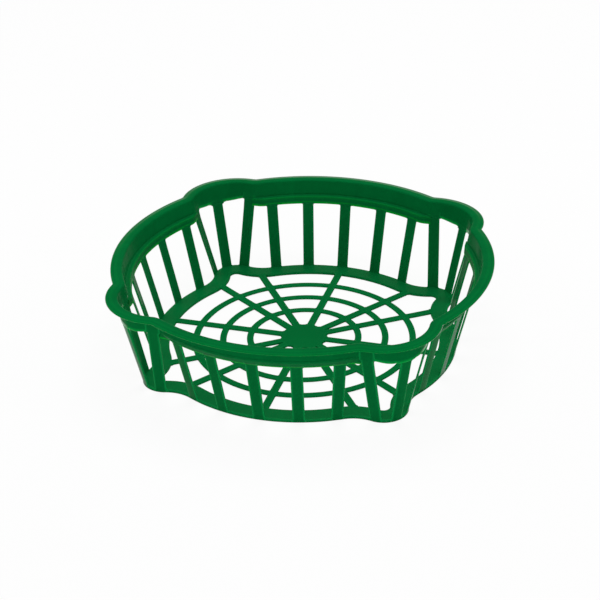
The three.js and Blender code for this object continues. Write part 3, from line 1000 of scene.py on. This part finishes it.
# Hub: the solid disc in the middle of the floor, where the spokes meet and the mould was filled.
# Green polypropylene, flat on top with a rounded edge.
HUB_STEPS = 144
HUB_TOP = WEB_TOP + 0.06
HUB_TOP_ROUND = 0.5
HUB_UNDER_ROUND = 0.2
HUB_MIDDLE_ROUND = 0.01
HUB_MIDDLE = 0.5
hub_profile = rounded_section(
    (
        (0, WEB_BOTTOM, HUB_MIDDLE_ROUND, 0),
        (HUB_RADIUS, WEB_BOTTOM, HUB_UNDER_ROUND, 0),
        (HUB_RADIUS, HUB_TOP, HUB_TOP_ROUND, 0),
        (0, HUB_TOP, HUB_MIDDLE_ROUND, 0),
    ),
    arc_steps=4,
)
hub_profile = [(reach, rise) for reach, rise, _ in hub_profile if reach > HUB_MIDDLE]
hub_shape = bmesh.new()
hub_loops = []
for reach, rise in hub_profile:
    loop = []
    for step in range(HUB_STEPS):
        angle = 2 * math.pi * step / HUB_STEPS
        corner = Vector((reach * math.cos(angle), reach * math.sin(angle), rise)) * MM
        loop.append(hub_shape.verts.new(corner))
    hub_loops.append(loop)
for lower, upper in zip(hub_loops, hub_loops[1:]):
    for step in range(HUB_STEPS):
        after = (step + 1) % HUB_STEPS
        hub_shape.faces.new((lower[step], lower[after], upper[after], upper[step]))
for loop, height in ((hub_loops[0], WEB_BOTTOM), (hub_loops[-1], HUB_TOP)):
    pole = hub_shape.verts.new((0, 0, height * MM))
    for step in range(HUB_STEPS):
        hub_shape.faces.new((loop[step], loop[(step + 1) % HUB_STEPS], pole))
bmesh.ops.recalc_face_normals(hub_shape, faces=hub_shape.faces)
for face in hub_shape.faces:
    face.smooth = True
hub_mesh = bpy.data.meshes.new("floor_hub")
hub_shape.to_mesh(hub_mesh)
hub_shape.free()
hub_mesh.materials.append(web_plastic)
hub = bpy.data.objects.new("floor_hub", hub_mesh)
bpy.context.scene.collection.objects.link(hub)
on_basket(hub, "web_hub")

# Studio floor: a plain white ground, wide enough for every view, that keeps the basket's soft shadow.
FLOOR_HALF = 6.0
FLOOR_DROP = 0.05
FLOOR_WHITE = (0.95, 0.95, 0.95, 1)
FLOOR_ROUGHNESS = 0.9
FLOOR_GLOW_SHARE = 0.92
FLOOR_CORNERS = ((-1, -1), (1, -1), (1, 1), (-1, 1))
floor_mesh = bpy.data.meshes.new("studio_floor")
floor_spots = [(x * FLOOR_HALF, y * FLOOR_HALF, -FLOOR_DROP * MM) for x, y in FLOOR_CORNERS]
floor_mesh.from_pydata(floor_spots, [], [(0, 1, 2, 3)])
floor = bpy.data.objects.new("studio_floor", floor_mesh)
bpy.context.scene.collection.objects.link(floor)


def seen_directly(tree):
    """1 for rays from the camera, mirrors and glass, which see the plain white background."""
    ray = tree.nodes.new("ShaderNodeLightPath").outputs
    in_view = math_node(tree, "MAXIMUM", ray["Is Camera Ray"], ray["Is Glossy Ray"])
    return math_node(tree, "MAXIMUM", in_view, ray["Is Transmission Ray"])


floor_white = bpy.data.materials.new("studio_white")
floor_white.use_nodes = True
tree = floor_white.node_tree
paper = tree.nodes["Principled BSDF"]
paper.inputs["Base Color"].default_value = FLOOR_WHITE
paper.inputs["Roughness"].default_value = FLOOR_ROUGHNESS
paper.inputs["Specular IOR Level"].default_value = 0.0
glow = tree.nodes.new("ShaderNodeEmission")
glow.inputs["Strength"].default_value = 1.0
share = math_node(tree, "MULTIPLY", seen_directly(tree), FLOOR_GLOW_SHARE)
both = tree.nodes.new("ShaderNodeMixShader")
tree.links.new(share, both.inputs["Fac"])
tree.links.new(paper.outputs["BSDF"], both.inputs[1])
tree.links.new(glow.outputs["Emission"], both.inputs[2])
tree.links.new(both.outputs["Shader"], tree.nodes["Material Output"].inputs["Surface"])
floor_mesh.materials.append(floor_white)

# Studio light: a white surround that lights less than it shows, a broad soft light above, a low panel
# in front and two soft panels at the sides.
SURROUND_LIGHT = 0.36
SURROUND_SEEN = 1.0
BASKET_MIDDLE = (0, 0, 0.03)
world = bpy.data.worlds.new("studio")
bpy.context.scene.world = world
world.use_nodes = True
tree = world.node_tree
surround = tree.nodes["Background"]
surround.inputs["Color"].default_value = (1, 1, 1, 1)
strength = tree.nodes.new("ShaderNodeMapRange")
strength.inputs["To Min"].default_value = SURROUND_LIGHT
strength.inputs["To Max"].default_value = SURROUND_SEEN
tree.links.new(seen_directly(tree), strength.inputs["Value"])
tree.links.new(strength.outputs["Result"], surround.inputs["Strength"])


def soft_panel(name, place, aim, width, height, watts):
    lamp = bpy.data.lights.new(name, "AREA")
    lamp.shape = "RECTANGLE"
    lamp.size = width
    lamp.size_y = height
    lamp.energy = watts
    panel = bpy.data.objects.new(name, lamp)
    panel.location = place
    panel.rotation_euler = (Vector(aim) - Vector(place)).to_track_quat("-Z", "Y").to_euler()
    bpy.context.scene.collection.objects.link(panel)


soft_panel("soft_above", (0.0, 0.35, 1.25), (0, 0, 0), width=0.9, height=0.9, watts=9)
soft_panel("soft_front", (0.1, -1.2, 0.15), BASKET_MIDDLE, width=0.9, height=0.3, watts=3)
soft_panel("soft_left", (-1.1, -0.2, 0.7), BASKET_MIDDLE, width=0.6, height=0.6, watts=2)
soft_panel("soft_right", (1.1, -0.1, 0.7), BASKET_MIDDLE, width=0.6, height=0.6, watts=2)

# Camera: at the photograph's angle, a long lens a little under a metre away and turned very slightly.
AZIMUTH, ELEVATION, ROLL = (math.radians(degrees) for degrees in (16.718, 29.194, -1.475))
CAMERA_DISTANCE = 870.58
CAMERA_TARGET = Vector((-14.02, 40.457, 0))
FOCAL_PIXELS = 1525.0
FRAME_PIXELS = 600
SENSOR = 36.0
back = Vector(
    (
        math.sin(AZIMUTH) * math.cos(ELEVATION),
        -math.cos(AZIMUTH) * math.cos(ELEVATION),
        math.sin(ELEVATION),
    )
)
level_right = (-back).cross(UPRIGHT).normalized()
level_up = level_right.cross(-back)
right = level_right * math.cos(ROLL) + level_up * math.sin(ROLL)
up = level_up * math.cos(ROLL) - level_right * math.sin(ROLL)
lens = bpy.data.cameras.new("photo_camera")
lens.sensor_width = SENSOR
lens.lens = FOCAL_PIXELS / FRAME_PIXELS * SENSOR
camera = bpy.data.objects.new("photo_camera", lens)
camera_place = Matrix.Translation((CAMERA_TARGET + back * CAMERA_DISTANCE) * MM)
camera_turn = Matrix((right, up, back)).transposed().to_4x4()
camera.matrix_world = camera_place @ camera_turn
bpy.context.scene.collection.objects.link(camera)
bpy.context.scene.camera = camera
bpy.context.scene.view_settings.view_transform = "Standard"
